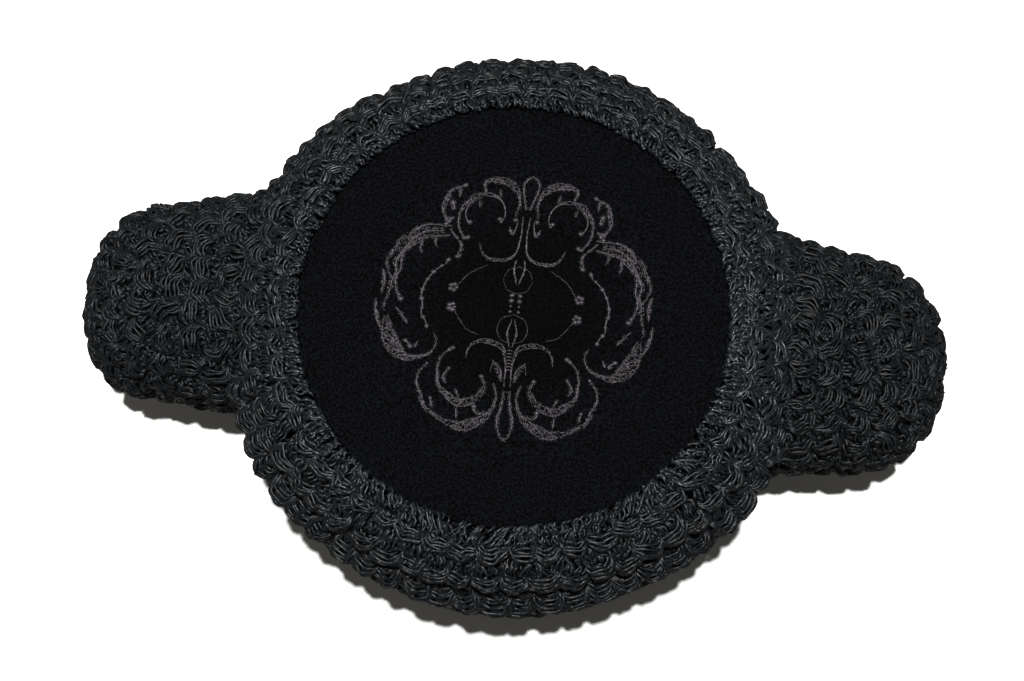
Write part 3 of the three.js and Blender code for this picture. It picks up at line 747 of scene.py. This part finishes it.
def lobe_paths(name):
    """Cord paths of one lobe, as groups of equal length."""
    lobe = LOBES[name]
    look = {**LOBE_TUFT, "gap": LOBE_TUFT["arc_gap"]}
    rng = np.random.default_rng(SEEDS["lobe"] + lobe["side"])
    distance, reach, half = lobe_outline(lobe)
    rows = round(distance[-1] / look["step"])
    step = (distance[-1] - TIP_CLEAR) / rows
    seats = []
    for row in range(rows + 1):
        at = row * step
        ring, length = lobe_ring(lobe, np.interp(at, distance, reach), np.interp(at, distance, half))
        count = max(round(length[-1] / look["pitch"]), 1)
        uneven = rng.normal(0, LOBE_SEAT["spread"], count)
        place = (np.arange(count) + 0.5 * (row % 2) + uneven) / count % 1.0
        seats.append(np.stack([np.interp(place * length[-1], length, ring[:, i]) for i in range(3)], axis=1))
    seats, normals = lobe_surface(lobe, np.concatenate(seats))
    inside = np.hypot(seats[:, 0], seats[:, 1]) < crest_radius(seats[:, 2]) - CROWN_COVERS
    seats, normals = seats[~inside], normals[~inside]
    # lips face away from the crest of the lobe beside the crown, outward and down
    crest = np.array([lobe["side"] * LOBE["crest_x"], lobe["base_y"], LOBE["crest_z"]])
    towards = seats - crest
    towards = unit(towards - normals * (towards * normals).sum(axis=1, keepdims=True))
    beside = np.cross(normals, towards)
    count = len(seats)
    turn = rng.normal(0, look["turn"], count)
    wander = rng.normal(0, look["wander"], count)
    groups = []
    for points, wide in tuft_cords(rng, count, look, rng.normal(0, look["lean"], count)):
        local = turn_tufts(points, turn, -LOBE_SEAT["pivot"] * look["step"])
        local[..., 1] += wander[:, None, None]
        flat = (seats[:, None, None] + local[..., 0:1] * beside[:, None, None]
                + local[..., 1:2] * towards[:, None, None])
        on, out = lobe_surface(lobe, flat)
        placed = on + out * (local[..., 2:3] - CORD_SINK)
        # the lobe's cords carry its painted shade, times a tone of their own
        light = lobe["painted_light"] * (1 + rng.normal(0, SHADE_SPREAD, placed.shape[0] * placed.shape[1]))
        groups.append((placed.reshape(-1, placed.shape[2], 3), wide, light))
    return groups


def tube_arrays(paths, radius, twist, sides):
    """Vertices, faces and face-corner coordinates of closed tubes along paths of equal length."""
    count, steps, _ = paths.shape
    tangent = unit(np.gradient(paths, axis=1))
    normal = np.empty_like(paths)
    normal[:, 0] = unit(np.cross(tangent[:, 0], TUBE_START))
    for step in range(1, steps):
        moved = normal[:, step - 1]
        moved = moved - tangent[:, step] * (moved * tangent[:, step]).sum(axis=1, keepdims=True)
        normal[:, step] = unit(moved)
    side = np.cross(tangent, normal)
    angle = 2 * np.pi * np.arange(sides)[None, :] / sides + twist * np.arange(steps)[:, None]
    wide = radius[:, None, None, None]
    ring = paths[:, :, None, :] + wide * (
        np.cos(angle)[None, :, :, None] * normal[:, :, None, :]
        + np.sin(angle)[None, :, :, None] * side[:, :, None, :])
    length = np.concatenate(
        [np.zeros((count, 1)), np.cumsum(np.linalg.norm(np.diff(paths, axis=1), axis=2), axis=1)], axis=1)
    index = np.arange(count * steps * sides).reshape(count, steps, sides)
    beside = np.roll(index, -1, axis=2)
    quads = np.stack([index[:, :-1], beside[:, :-1], beside[:, 1:], index[:, 1:]], axis=-1).reshape(-1, 4)
    around = angle / (2 * np.pi)
    around_next = around + 1 / sides
    corner_u = np.stack([around[:-1], around_next[:-1], around_next[1:], around[1:]], axis=-1)
    corner_u = np.broadcast_to(corner_u, (count, steps - 1, sides, 4))
    corner_v = np.stack([length[:, :-1], length[:, :-1], length[:, 1:], length[:, 1:]], axis=-1)
    corner_v = np.broadcast_to(corner_v[:, :, None, :], (count, steps - 1, sides, 4))
    corners = np.stack([corner_u, corner_v], axis=-1).reshape(-1, 2)
    caps = np.concatenate([index[:, 0, ::-1], index[:, -1]])
    return ring.reshape(-1, 3), quads, corners, caps


def cords_piece(name, groups, twist, seed):
    """One mesh of many closed cords, with a cord map and a shade for each cord."""
    rng = np.random.default_rng(seed)
    points, quads, corners, caps, shades, first = [], [], [], [], [], 0
    for paths, radius, light in groups:
        wide = radius * (1 + rng.normal(0, CORD_RADIUS_SPREAD, len(paths)))
        ring, walls, wall_corners, ends = tube_arrays(paths, wide, twist, CORD_SIDES)
        points.append(ring)
        quads.append(walls + first)
        caps.append(ends + first)
        corners.append(wall_corners)
        shades.append(np.repeat(light, paths.shape[1] * CORD_SIDES))
        first += len(ring)
    points, quads, caps = np.concatenate(points) * MM, np.concatenate(quads), np.concatenate(caps)
    corners.append(np.zeros((caps.size, 2)))
    sizes = np.concatenate([np.full(len(quads), 4), np.full(len(caps), CORD_SIDES)]).astype(np.int32)
    mesh = bpy.data.meshes.new(name)
    mesh.vertices.add(len(points))
    mesh.vertices.foreach_set("co", points.astype(np.float32).ravel())
    mesh.loops.add(quads.size + caps.size)
    mesh.loops.foreach_set("vertex_index", np.concatenate([quads.ravel(), caps.ravel()]).astype(np.int32))
    mesh.polygons.add(len(sizes))
    mesh.polygons.foreach_set("loop_start", (np.cumsum(sizes) - sizes).astype(np.int32))
    mesh.polygons.foreach_set("loop_total", sizes)
    mesh.polygons.foreach_set("use_smooth", np.ones(len(sizes), bool))
    mesh.uv_layers.new(name="cord")
    mesh.uv_layers["cord"].uv.foreach_set("vector", np.concatenate(corners).astype(np.float32).ravel())
    shade = mesh.attributes.new("shade", "FLOAT", "POINT")
    shade.data.foreach_set("value", np.concatenate(shades).astype(np.float32))
    mesh.update(calc_edges=True)
    mesh.validate()
    piece = bpy.data.objects.new(name, mesh)
    bpy.context.scene.collection.objects.link(piece)
    return piece


# Embroidery

def even_stroke(points):
    """Points a stitch apart on a smooth curve through a stroke's points, with their shares of its length."""
    points = np.array(points)
    ends = np.vstack([2 * points[0] - points[1], points, 2 * points[-1] - points[-2]])
    share = np.linspace(0, 1, CURVE_SHARES, endpoint=False)[:, None]
    fine = []
    for before, start, stop, after in zip(ends, ends[1:], ends[2:], ends[3:]):
        bend = (2 * before - 5 * start + 4 * stop - after) * share ** 2
        curl = (3 * start - before - 3 * stop + after) * share ** 3
        fine.append(start + 0.5 * ((stop - before) * share + bend + curl))
    fine = np.vstack([*fine, points[-1:]])
    length = running_length(fine)
    even = np.arange(0, length[-1], STITCH_GAP)
    return np.stack([np.interp(even, length, fine[:, axis]) for axis in (0, 1)], axis=1), even / length[-1]


def stroke_stitches(rng, stroke):
    """Stitches in lanes along one stroke, as middles, half lengths and shades."""
    name, broadest = stroke["name"], stroke["width"]
    middle, share = even_stroke(stroke["points"])
    along = unit(np.gradient(middle, axis=0))
    across = np.stack([-along[:, 1], along[:, 0]], axis=1)
    thin = min(THIN_STROKE, broadest)
    width = between(thin, broadest, np.exp(-((share - stroke["thick"]) / STROKE_SWELL) ** 2))
    lanes = np.linspace(-0.5, 0.5, max(round(broadest / LANE_GAP), 1))
    inside = np.maximum(width - LANE_GAP, 0)
    beside = 0.5 * (width + LANE_GAP)
    if name in HATCH:
        rows = [("fill", place * inside) for place in lanes]
    else:
        edges = (-0.5, 0.5) if len(lanes) > 1 else (0,)
        rows = [("edge", place * inside) for place in edges]
        if name not in CRISP:
            rows += [("fringe", -beside), ("fringe", beside)]
        rows += [("fill", place * inside) for place in lanes[1:-1]]
    inward = np.minimum(np.minimum(share, 1 - share) / END_SHARE, 1)
    fade = between(END_SHADE, 1, inward) * DIM.get(name, 1)
    sewn = []
    for lane, (kind, offset) in enumerate(rows):
        look = STITCHES[kind]
        # lanes that run together where the stroke is thin leave stitches out
        room = np.minimum(width / broadest, 1) if kind == "fill" else 1
        shown = rng.random(len(middle)) < look["shown"] * room * HATCH.get(name, 1)
        shift = STITCH_GAP * (0.5 * (lane % 2) + rng.normal(0, SEWING_SPREAD["shift"], (len(middle), 1)))
        place = middle + offset[:, None] * across + shift * along
        place = place + rng.normal(0, SEWING_SPREAD["place"], middle.shape)
        half = 0.5 * look["length"] * (along + look["slant"] * across)
        half = half * (1 + rng.normal(0, SEWING_SPREAD["length"], (len(half), 1)))
        light = rng.uniform(look["darkest"], look["lightest"], len(middle)) * fade
        sewn.append((place[shown], half[shown], light[shown]))
    return [np.concatenate(part) for part in zip(*sewn)]


def directions(count, turn):
    """Unit vectors spread evenly over a turn."""
    turns = turn * np.arange(count) / count
    return np.stack([np.cos(turns), np.sin(turns)], axis=1)


def knot_stitches(rng, places, radius):
    """Crossed stitches for a knot of its own size at each place."""
    size = radius * (1 + rng.normal(0, KNOT_SPREAD, (len(places), 1, 1)))
    half = size * directions(len(KNOT_SHADES), np.pi)
    middle = np.repeat(places, len(KNOT_SHADES), axis=0)
    return middle, half.reshape(-1, 2), np.tile(KNOT_SHADES, len(places))


def flower_stitches(rng):
    """Small knots as petals round the middle of every flower."""
    petals = np.array(FLOWERS)[:, None] + FLOWER_RADIUS * directions(PETALS, 2 * np.pi)
    return knot_stitches(rng, petals.reshape(-1, 2), PETAL_RADIUS)


def column_stitches():
    """Level stitches one above the other beside the axis."""
    middle = [(across, up) for across, low, high in COLUMNS for up in np.arange(low, high, COLUMN_GAP)]
    return np.array(middle), np.tile(COLUMN_STITCH, (len(middle), 1)), np.ones(len(middle))


def embroidery_paths():
    """Threads of all stitches, mirrored, laid on the velvet and arched a little over it."""
    rng = np.random.default_rng(SEEDS["embroidery"])
    sewn = [stroke_stitches(rng, stroke) for stroke in EMBROIDERY] + [
        knot_stitches(rng, np.array(KNOTS), KNOT_RADIUS), flower_stitches(rng), column_stitches()]
    middle, half, light = (np.concatenate([part[i] for part in sewn]) for i in range(3))
    way = np.linspace(-1, 1, STITCH_POINTS)
    left = middle[:, None] + way[None, :, None] * half[:, None]
    flat = np.concatenate([left, left * np.array([-1, 1])])
    flat[..., 0] -= ORNAMENT_BOW * (1 - (flat[..., 1] / ORNAMENT_REACH) ** 2)
    turn = np.array([[math.cos(ORNAMENT_TURN), -math.sin(ORNAMENT_TURN)],
                     [math.sin(ORNAMENT_TURN), math.cos(ORNAMENT_TURN)]])
    flat = flat @ turn.T + np.array(ORNAMENT_MIDDLE)
    share = np.linalg.norm(flat, axis=-1) / TOP_RADIUS
    height = TOP_EDGE_Z + TOP_RISE * (1 - share ** 2) + STITCH_ARCH * (1 - way ** 2)
    return np.concatenate([flat, height[..., None]], axis=-1), STITCH_RADIUS, np.tile(light, 2)


# Shells

def deselect():
    bpy.ops.object.select_all(action="DESELECT")


def face_outwards():
    """Ends the editing of a shell with all its faces turned outwards."""
    bpy.ops.mesh.select_all(action="SELECT")
    bpy.ops.mesh.normals_make_consistent(inside=False)
    bpy.ops.object.mode_set(mode="OBJECT")


def ring_shell(name, stations, sides):
    """A shell extruded ring by ring from a circle; a station is a half width, a half depth and a height."""
    deselect()
    first = stations[0]
    bpy.ops.mesh.primitive_circle_add(vertices=sides, radius=1.0, location=(0, 0, 0))
    piece = bpy.context.object
    piece.name = piece.data.name = name
    bpy.ops.object.mode_set(mode="EDIT")
    bpy.ops.mesh.select_all(action="SELECT")
    bpy.ops.transform.resize(value=(first[0] * MM, first[1] * MM, 1), center_override=(0, 0, 0))
    bpy.ops.transform.translate(value=(0, 0, first[2] * MM))
    for last, this in zip(stations, stations[1:]):
        bpy.ops.mesh.extrude_edges_move()
        bpy.ops.transform.resize(
            value=(this[0] / last[0], this[1] / last[1], 1), center_override=(0, 0, last[2] * MM))
        bpy.ops.transform.translate(value=(0, 0, (this[2] - last[2]) * MM))
    return piece


def crown_station(distance, lift):
    """Half width, half depth and height of the crown at a distance along its crest."""
    wide = crown_place(np.array([distance]), np.array([0.0]), lift)[0]
    deep = crown_place(np.array([distance]), np.array([np.pi / 2]), lift)[0]
    return wide[0], deep[1], wide[2]


def crown_backing():
    """Dark cloth under the loop rows, from beside the velvet down to the rim."""
    roots = [0.0] + [row["back"] for row in ROWS[:-1]]
    depths = [row["relief"] + row["sink"] + BACKING["under"] for row in ROWS]
    stations = []
    for distance in np.linspace(BACKING["start"], CREST_DISTANCE[-1], BACKING["rings"]):
        wide, deep, height = crown_station(distance, -np.interp(distance, roots, depths))
        stations.append((wide, deep, max(height, BACKING["lowest"])))
    foot = HEAD_RADIUS + WALL_THICKNESS + BACKING["gap"]
    stations.append((foot + HEAD_OVALITY, foot - HEAD_OVALITY, stations[-1][2]))
    piece = ring_shell("crown_backing", stations[::-1], WALL_SIDES)
    face_outwards()
    bpy.ops.object.shade_smooth()
    return piece


def head_station(share):
    """Half width, half depth and height of the head hollow between its ledge and its upright wall."""
    turn = share * math.pi / 2
    out = between(LEDGE_RADIUS, HEAD_RADIUS, math.sin(turn))
    oval = HEAD_OVALITY * math.sin(turn)
    return out + oval, out - oval, between(HEAD_SHOULDER_Z, LEDGE_Z, math.cos(turn))


def inner_wall():
    """Plain cloth wall of the head hollow with its ledge."""
    stations = [(HEAD_RADIUS + HEAD_OVALITY, HEAD_RADIUS - HEAD_OVALITY, height)
                for height in np.linspace(HEM_Z, HEAD_SHOULDER_Z, WALL_RINGS)[:-1]]
    stations += [head_station(share) for share in np.linspace(1, 0, LEDGE_RINGS)]
    piece = ring_shell("inner_wall", stations, WALL_SIDES)
    face_outwards()
    wall = piece.modifiers.new("thickness", "SOLIDIFY")
    wall.thickness = WALL_THICKNESS * MM
    wall.offset = 1.0
    bpy.ops.object.modifier_apply(modifier=wall.name)
    bpy.ops.object.shade_smooth()
    return piece


def velvet_top():
    """Velvet disc with a rounded edge, inset into rings and raised a little in the middle."""
    under = TOP_EDGE_Z - TOP_THICKNESS
    rings = [(TOP_RADIUS - TOP_CHAMFER, under), (TOP_RADIUS, under + TOP_CHAMFER)]
    for turn in np.linspace(0, math.pi / 2, TOP_ROUND_RINGS):
        rings.append((TOP_RADIUS - TOP_ROUND * (1 - math.cos(turn)),
                      TOP_EDGE_Z - TOP_ROUND * (1 - math.sin(turn))))
    for share in np.linspace(*TOP_RINGS):
        rings.append((share * TOP_RADIUS, TOP_EDGE_Z + TOP_RISE * (1 - share ** 2)))
    piece = ring_shell("velvet_top", [(reach, reach, height) for reach, height in rings], TOP_SIDES)
    bpy.ops.mesh.edge_face_add()
    bpy.ops.mesh.select_all(action="DESELECT")
    bpy.ops.mesh.select_non_manifold()
    bpy.ops.mesh.edge_face_add()
    face_outwards()
    bpy.ops.object.shade_smooth_by_angle(angle=SHARP_ANGLE)
    return piece


def lobe_pad(name):
    """Stuffed body of a lobe under its loops, drawn out of a ball onto the lobe's form."""
    lobe = LOBES[name]
    low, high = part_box(f"side_lobe_{name}")
    deselect()
    middle_x, middle_y = lobe["side"] * lobe["shoulder_x"] * MM, lobe["base_y"] * MM
    bpy.ops.mesh.primitive_uv_sphere_add(
        segments=PAD["segments"], ring_count=PAD["rings"], radius=PAD["radius"],
        location=(middle_x, middle_y, (low.z + high.z) / 2))
    piece = bpy.context.object
    piece.name = piece.data.name = f"lobe_pad_{name}"
    bpy.ops.object.transform_apply(location=True, rotation=True, scale=True)
    bpy.ops.object.mode_set(mode="EDIT")
    bpy.ops.mesh.select_all(action="SELECT")
    bpy.ops.transform.resize(value=PAD["stretch"], center_override=(middle_x, middle_y, PAD["middle_z"]))
    bpy.ops.object.mode_set(mode="OBJECT")
    points = np.array([v.co for v in piece.data.vertices]) / MM
    on, out = lobe_surface(lobe, points)
    # the inner end stays a flat foot against the crown
    inner = lobe["side"] * points[:, 0] < LOBE["base_x"] + PAD["foot"]
    on = np.where(inner[:, None], points, on - out * LOBE_TUFT["relief"])
    for vertex, point in zip(piece.data.vertices, on * MM):
        vertex.co = point
    bpy.ops.object.shade_smooth()
    return piece


# Materials

def new_material(name, base, roughness):
    material = bpy.data.materials.new(name)
    material.use_nodes = True
    shader = material.node_tree.nodes["Principled BSDF"]
    shader.inputs["Base Color"].default_value = (*base, 1)
    shader.inputs["Roughness"].default_value = roughness
    return material, material.node_tree, shader


def add_math(tree, operation, *values):
    """A math node on values that are sockets or numbers; gives its result."""
    node = tree.nodes.new("ShaderNodeMath")
    node.operation = operation
    for socket, value in zip(node.inputs, values):
        if isinstance(value, (int, float)):
            socket.default_value = value
        else:
            tree.links.new(value, socket)
    return node.outputs[0]


def add_shade(tree, color, factor, target):
    """A colour, given as a socket or as numbers, times a factor, linked to a target socket."""
    scale = tree.nodes.new("ShaderNodeVectorMath")
    scale.operation = "SCALE"
    if isinstance(color, tuple):
        scale.inputs[0].default_value = color
    else:
        tree.links.new(color, scale.inputs[0])
    tree.links.new(factor, scale.inputs["Scale"])
    tree.links.new(scale.outputs[0], target)


def add_bump(tree, shader, height, look):
    bump = tree.nodes.new("ShaderNodeBump")
    bump.inputs["Strength"].default_value = look["bump"]
    bump.inputs["Distance"].default_value = look["depth"]
    tree.links.new(height, bump.inputs["Height"])
    tree.links.new(bump.outputs["Normal"], shader.inputs["Normal"])


def own_shade(tree):
    """The shade that each cord or stitch has."""
    own = tree.nodes.new("ShaderNodeAttribute")
    own.attribute_name = "shade"
    return own.outputs["Fac"]


def split_place(tree, output):
    """X, Y and Z of a texture coordinate."""
    where = tree.nodes.new("ShaderNodeTexCoord")
    split = tree.nodes.new("ShaderNodeSeparateXYZ")
    tree.links.new(where.outputs[output], split.inputs[0])
    return (split.outputs[axis] for axis in "XYZ")


def cord_material(name, specular, roughness):
    """Twisted cord: its plies wind round it with painted shade in the grooves between them, and each cord has
    its own shade.
    """
    material, tree, shader = new_material(name, CORD_COLOR, roughness)
    shader.inputs["Specular IOR Level"].default_value = specular
    uv = tree.nodes.new("ShaderNodeUVMap")
    uv.uv_map = "cord"
    split = tree.nodes.new("ShaderNodeSeparateXYZ")
    tree.links.new(uv.outputs[0], split.inputs[0])
    plies = add_math(tree, "MULTIPLY", split.outputs["X"], PLY["round"])
    along = add_math(tree, "MULTIPLY_ADD", split.outputs["Y"], 1 / PLY["pitch"], plies)
    ridge = add_math(tree, "ABSOLUTE", add_math(tree, "SINE", add_math(tree, "MULTIPLY", along, math.pi)))
    add_bump(tree, shader, ridge, PLY)
    shade = own_shade(tree)
    # the grooves between the plies are painted darker than their crests: painted shade that follows the ply
    # bump
    painted_groove_shade = add_math(tree, "MULTIPLY_ADD", ridge, PLY["contrast"], PLY["darkest"])
    add_shade(tree, CORD_COLOR, add_math(tree, "MULTIPLY", shade, painted_groove_shade), shader.inputs["Base Color"])
    # cords of a lighter shade, which holds each cord's own tone and its painted light and shade, are smoother
    # too
    smoother = add_math(tree, "MULTIPLY_ADD", shade, -SHADE_POLISH, roughness + SHADE_POLISH)
    tree.links.new(add_math(tree, "MAXIMUM", smoother, LEAST_ROUGHNESS), shader.inputs["Roughness"])
    return material


def fibre_group():
    """Shader group that varies a colour from fibre to fibre and gives the same speckle as a height."""
    group = bpy.data.node_groups.new("fibre_speckle", "ShaderNodeTree")
    for way, name, kind in (("INPUT", "Color", "Color"), ("INPUT", "Scale", "Float"),
                            ("INPUT", "Amount", "Float"), ("OUTPUT", "Color", "Color"),
                            ("OUTPUT", "Height", "Float")):
        group.interface.new_socket(name, in_out=way, socket_type=f"NodeSocket{kind}")
    given, result = group.nodes.new("NodeGroupInput"), group.nodes.new("NodeGroupOutput")
    where = group.nodes.new("ShaderNodeTexCoord")
    speckle = group.nodes.new("ShaderNodeTexNoise")
    speckle.inputs["Detail"].default_value = FIBRE_DETAIL
    group.links.new(where.outputs["Object"], speckle.inputs["Vector"])
    group.links.new(given.outputs["Scale"], speckle.inputs["Scale"])
    level = add_math(group, "SUBTRACT", speckle.outputs[0], 0.5)
    factor = add_math(group, "MULTIPLY_ADD", level, given.outputs["Amount"], 1.0)
    factor = add_math(group, "MAXIMUM", factor, DARKEST_FIBRE)
    add_shade(group, given.outputs["Color"], factor, result.inputs["Color"])
    group.links.new(speckle.outputs[0], result.inputs["Height"])
    return group


def add_speckle(tree, group, color, look):
    """Fibre speckle on a colour; gives the group node."""
    fibres = tree.nodes.new("ShaderNodeGroup")
    fibres.node_tree = group
    fibres.inputs["Color"].default_value = (*color, 1)
    fibres.inputs["Scale"].default_value = look["fibres"]
    fibres.inputs["Amount"].default_value = look["speckle"]
    return fibres


def cloth_material(name, color, fibres):
    """Plain weave that goes round the hat's axis, painted darker in the dips between its threads as painted
    shade.
    """
    material, tree, shader = new_material(name, color, WEAVE["roughness"])
    shader.inputs["Specular IOR Level"].default_value = 0.0
    speckle = add_speckle(tree, fibres, color, WEAVE)
    across, deep, high = split_place(tree, "Object")
    out = add_math(tree, "SQRT", add_math(
        tree, "ADD", add_math(tree, "MULTIPLY", across, across), add_math(tree, "MULTIPLY", deep, deep)))
    turn = math.pi / (WEAVE["pitch"] * MM)
    # warp runs up the wall, and weft round it
    warp = add_math(tree, "MULTIPLY", add_math(tree, "ARCTAN2", deep, across), HEAD_RADIUS * MM * turn)
    weft = add_math(tree, "MULTIPLY", add_math(tree, "SUBTRACT", high, out), turn)
    weave = add_math(tree, "MULTIPLY", add_math(tree, "SINE", warp), add_math(tree, "SINE", weft))
    add_bump(tree, shader, weave, WEAVE)
    # the threads are painted lighter on their crests and darker in the dips of the weave: painted shade that
    # follows the weave bump
    painted_weave_shade = add_math(tree, "MULTIPLY_ADD", weave, WEAVE["contrast"], 1.0)
    add_shade(tree, speckle.outputs["Color"], painted_weave_shade, shader.inputs["Base Color"])
    return material


def thread_material(fibres):
    """Embroidery thread, of which each stitch has its own shade."""
    material, tree, shader = new_material("embroidery_thread", THREAD_COLOR, THREAD["roughness"])
    shader.inputs["Specular IOR Level"].default_value = THREAD["specular"]
    speckle = add_speckle(tree, fibres, THREAD_COLOR, THREAD)
    add_shade(tree, speckle.outputs["Color"], own_shade(tree), shader.inputs["Base Color"])
    return material


def velvet_material(fibres):
    """Short pile, pressed darker round the middle of the embroidery."""
    material, tree, shader = new_material("black_velvet", VELVET_COLOR, VELVET["roughness"])
    shader.inputs["Specular IOR Level"].default_value = VELVET["specular"]
    shader.inputs["Sheen Weight"].default_value = VELVET["sheen"]
    shader.inputs["Sheen Roughness"].default_value = VELVET["sheen_roughness"]
    speckle = add_speckle(tree, fibres, VELVET_COLOR, VELVET)
    add_bump(tree, shader, speckle.outputs["Height"], VELVET)
    where = tree.nodes.new("ShaderNodeTexCoord")
    apart = tree.nodes.new("ShaderNodeVectorMath")
    apart.operation = "DISTANCE"
    apart.inputs[1].default_value = (*(place * MM for place in ORNAMENT_MIDDLE), TOP_EDGE_Z * MM)
    tree.links.new(where.outputs["Object"], apart.inputs[0])
    pressed = tree.nodes.new("ShaderNodeMapRange")
    pressed.interpolation_type = "SMOOTHSTEP"
    for socket, value in PRESSED.items():
        pressed.inputs[socket].default_value = value
    tree.links.new(apart.outputs["Value"], pressed.inputs["Value"])
    add_shade(tree, speckle.outputs["Color"], pressed.outputs[0], shader.inputs["Base Color"])
    return material


# Stage

def floor_piece():
    deselect()
    bpy.ops.mesh.primitive_plane_add(size=FLOOR["size"])
    floor = bpy.context.object
    floor.name = "floor"
    material, _, shader = new_material("pale_floor", FLOOR["color"], FLOOR["roughness"])
    shader.inputs["Emission Color"].default_value = FLOOR["glow_color"]
    shader.inputs["Emission Strength"].default_value = FLOOR["glow"]
    material.cycles.emission_sampling = "NONE"
    floor.data.materials.append(material)


def add_camera():
    azimuth, elevation = math.radians(CAMERA["azimuth"]), math.radians(CAMERA["elevation"])
    back = Vector((math.sin(azimuth) * math.cos(elevation), -math.cos(azimuth) * math.cos(elevation),
                   math.sin(elevation)))
    right = Vector((math.cos(azimuth), math.sin(azimuth), 0))
    up = back.cross(right)
    aim = Vector((0, 0, CAMERA["target_z"])) + AIM_RIGHT * right + AIM_UP * up
    data = bpy.data.cameras.new("camera")
    data.lens = CAMERA["lens"]
    data.sensor_width = CAMERA["sensor"]
    data.clip_end = CAMERA["farthest"]
    camera = bpy.data.objects.new("camera", data)
    camera.location = (aim + CAMERA["distance"] * back) * MM
    camera.rotation_mode = "QUATERNION"
    camera.rotation_quaternion = (-back).to_track_quat("-Z", "Y")
    bpy.context.scene.collection.objects.link(camera)
    bpy.context.scene.camera = camera


def paper_white(settings):
    """Tone curve of a studio print: the lit floor is pure white, and the dark tones stay as they are."""
    settings.view_transform = "Standard"
    settings.use_curve_mapping = True
    tones = settings.curve_mapping
    tones.extend = "HORIZONTAL"
    curve = tones.curves[3]
    curve.points[-1].location = PAPER_WHITE
    for light, shown in TONES:
        curve.points.new(light, shown)
    for point in curve.points:
        point.handle_type = "VECTOR"
    tones.update()


def add_light():
    scene = bpy.context.scene
    paper_white(scene.view_settings)
    world = bpy.data.worlds.new("studio")
    world.use_nodes = True
    tree = world.node_tree
    room = tree.nodes["Background"]
    room.inputs["Color"].default_value = ROOM["color"]
    sideways, _, _ = split_place(tree, "Generated")
    level = add_math(tree, "MULTIPLY_ADD", sideways, ROOM["slope"], ROOM["level"])
    tree.links.new(level, room.inputs["Strength"])
    scene.world = world
    data = bpy.data.lights.new("overhead", "SUN")
    data.energy = LAMP["energy"]
    data.angle = LAMP["wide"]
    data.cycles.use_multiple_importance_sampling = False
    lamp = bpy.data.objects.new("overhead", data)
    lamp.rotation_euler = (LAMP["tilt"], 0, 0)
    scene.collection.objects.link(lamp)


def dress(piece, material, slot, *nodes):
    piece.data.materials.clear()
    piece.data.materials.append(material)
    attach(piece, BODY)
    if nodes:
        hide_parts(*nodes)


add_camera()
add_light()
floor_piece()
crown_cord = cord_material("looped_cord", *CROWN_GLOSS)
lobe_cord = cord_material("looped_cord_lobes", *LOBE_GLOSS)
fibres = fibre_group()
backing = cloth_material("backing_cloth", BACKING_COLOR, fibres)
lining = cloth_material("lining_cloth", LINING_COLOR, fibres)

top = velvet_top()
dress(top, velvet_material(fibres), "velvet", "crown_top")
wall = inner_wall()
dress(wall, lining, "cloth", "crown_wall")
under = crown_backing()
dress(under, backing, "cord", "crown_loops")
sewing = cords_piece("embroidery", [embroidery_paths()], 0.0, SEEDS["embroidery_radii"])
dress(sewing, thread_material(fibres), None, "crown_top")
for row in range(len(ROWS)):
    piece = cords_piece(f"loop_row_{row + 1}", crown_row_paths(row), CORD_TWIST, SEEDS["crown_radii"] + row)
    dress(piece, crown_cord, "cord", "crown_loops")
for name in LOBES:
    pad = lobe_pad(name)
    dress(pad, backing, "cord", f"side_lobe_{name}")
    piece = cords_piece(f"lobe_loops_{name}", lobe_paths(name), CORD_TWIST, SEEDS["lobe_radii"])
    dress(piece, lobe_cord, "cord", f"side_lobe_{name}")
